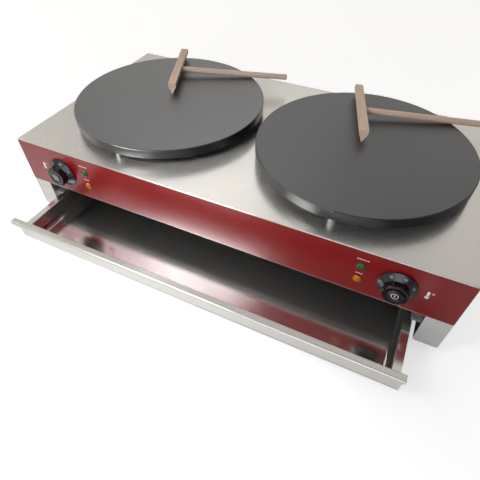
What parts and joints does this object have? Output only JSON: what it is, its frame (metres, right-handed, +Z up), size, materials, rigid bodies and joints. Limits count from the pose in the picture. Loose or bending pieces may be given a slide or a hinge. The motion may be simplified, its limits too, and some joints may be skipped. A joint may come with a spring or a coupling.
{
  "type": "electric crepe maker",
  "caption": "Countertop electric crepe maker: round cast iron plates on a low stainless housing with a red front, rotary controls, a shallow drawer and wooden batter spreaders.",
  "frame": {"origin": "on the surface it stands on, in the middle of the whole object's footprint at rest, with the drawer drawn out as shown", "axes": "+X to the right along the long side, +Y from the drawer front towards the back, +Z up"},
  "size_m": [0.87, 0.6072, 0.2476],
  "materials": {
    "deck_steel": "satin brushed stainless sheet",
    "housing_steel": "satin brushed stainless sheet",
    "red_lacquer": "glossy red lacquer on a thin plate",
    "screw_steel": "bright zinc plate",
    "foot_rubber": "matt black rubber",
    "plate_iron": "turned and seasoned, dark grey satin",
    "spacer_steel": "turned bright steel",
    "heater_sheath": "heat-tinted steel tube",
    "cover_sheet": "aluminised sheet",
    "thermostat_shell": "ivory moulded resin",
    "spindle_steel": "turned steel",
    "knob_black": "glossy black moulding",
    "lens_green": "clear green faceted lens",
    "lens_amber": "clear amber faceted lens",
    "holder_black": "black moulding",
    "sensor_copper": "drawn copper",
    "gland_black": "black polyamide",
    "terminal_white": "off-white moulding",
    "runner_steel": "plain stainless sheet",
    "drawer_bright": "bright polished stainless sheet",
    "drawer_brushed": "satin brushed stainless sheet",
    "beech": "sanded pale beech"
  },
  "bodies": {
    "housing": {"amber_lamp_left": "lens_amber", "amber_lamp_right": "lens_amber", "back_panel": "housing_steel", "back_screws": "screw_steel", "base_plate": "housing_steel", "base_screws": "screw_steel", "cable_glands": "gland_black", "conduit_left": "cover_sheet", "conduit_right": "cover_sheet", "cover_studs": "screw_steel", "foot_screws": "screw_steel", "front_fascia": "red_lacquer", "front_panel": "housing_steel", "gland_locknuts": "gland_black", "green_lamp_left": "lens_green", "green_lamp_right": "lens_green", "griddle_plate_left": "plate_iron", "griddle_plate_right": "plate_iron", "heater_cover_left": "cover_sheet", "heater_cover_right": "cover_sheet", "heater_left": "heater_sheath", "heater_right": "heater_sheath", "lamp_holders": "holder_black", "plate_bolts": "screw_steel", "plate_spacers": "spacer_steel", "rubber_feet": "foot_rubber", "runner_left": "runner_steel", "runner_right": "runner_steel", "sensor_left": "sensor_copper", "sensor_right": "sensor_copper", "side_panel_left": "housing_steel", "side_panel_right": "housing_steel", "terminal_block_left": "terminal_white", "terminal_block_right": "terminal_white", "thermostat_left": "thermostat_shell", "thermostat_nuts": "spindle_steel", "thermostat_right": "thermostat_shell", "top_deck": "deck_steel"},
    "drawer": {"drawer_tray": "drawer_bright", "drawer_front": "drawer_brushed"},
    "knob_left_body": {"knob_left": "knob_black", "spindle_left": "spindle_steel"},
    "knob_right_body": {"knob_right": "knob_black", "spindle_right": "spindle_steel"},
    "spreader_left": {"spreader_head_left": "beech", "spreader_handle_left": "beech"},
    "spreader_right": {"spreader_head_right": "beech", "spreader_handle_right": "beech"}
  },
  "joints": [
    {"name": "drawer_slide", "type": "slide", "parent": "housing", "child": "drawer", "axis": [0, -1, 0], "range_m": [-0.117, 0.183]},
    {"name": "knob_left_turn", "type": "hinge", "parent": "housing", "child": "knob_left_body", "pos_m": [-0.3345, -0.1824, 0.139], "axis": [0, 1, 0], "range_deg": [0, 280]},
    {"name": "knob_right_turn", "type": "hinge", "parent": "housing", "child": "knob_right_body", "pos_m": [0.3345, -0.1824, 0.139], "axis": [0, 1, 0], "range_deg": [0, 280]},
    {"name": "spreader_left_lift", "type": "slide", "parent": "housing", "child": "spreader_left", "axis": [0, 0, 1], "range_m": [0, 0.3]},
    {"name": "spreader_right_lift", "type": "slide", "parent": "housing", "child": "spreader_right", "axis": [0, 0, 1], "range_m": [0, 0.3]}
  ]
}
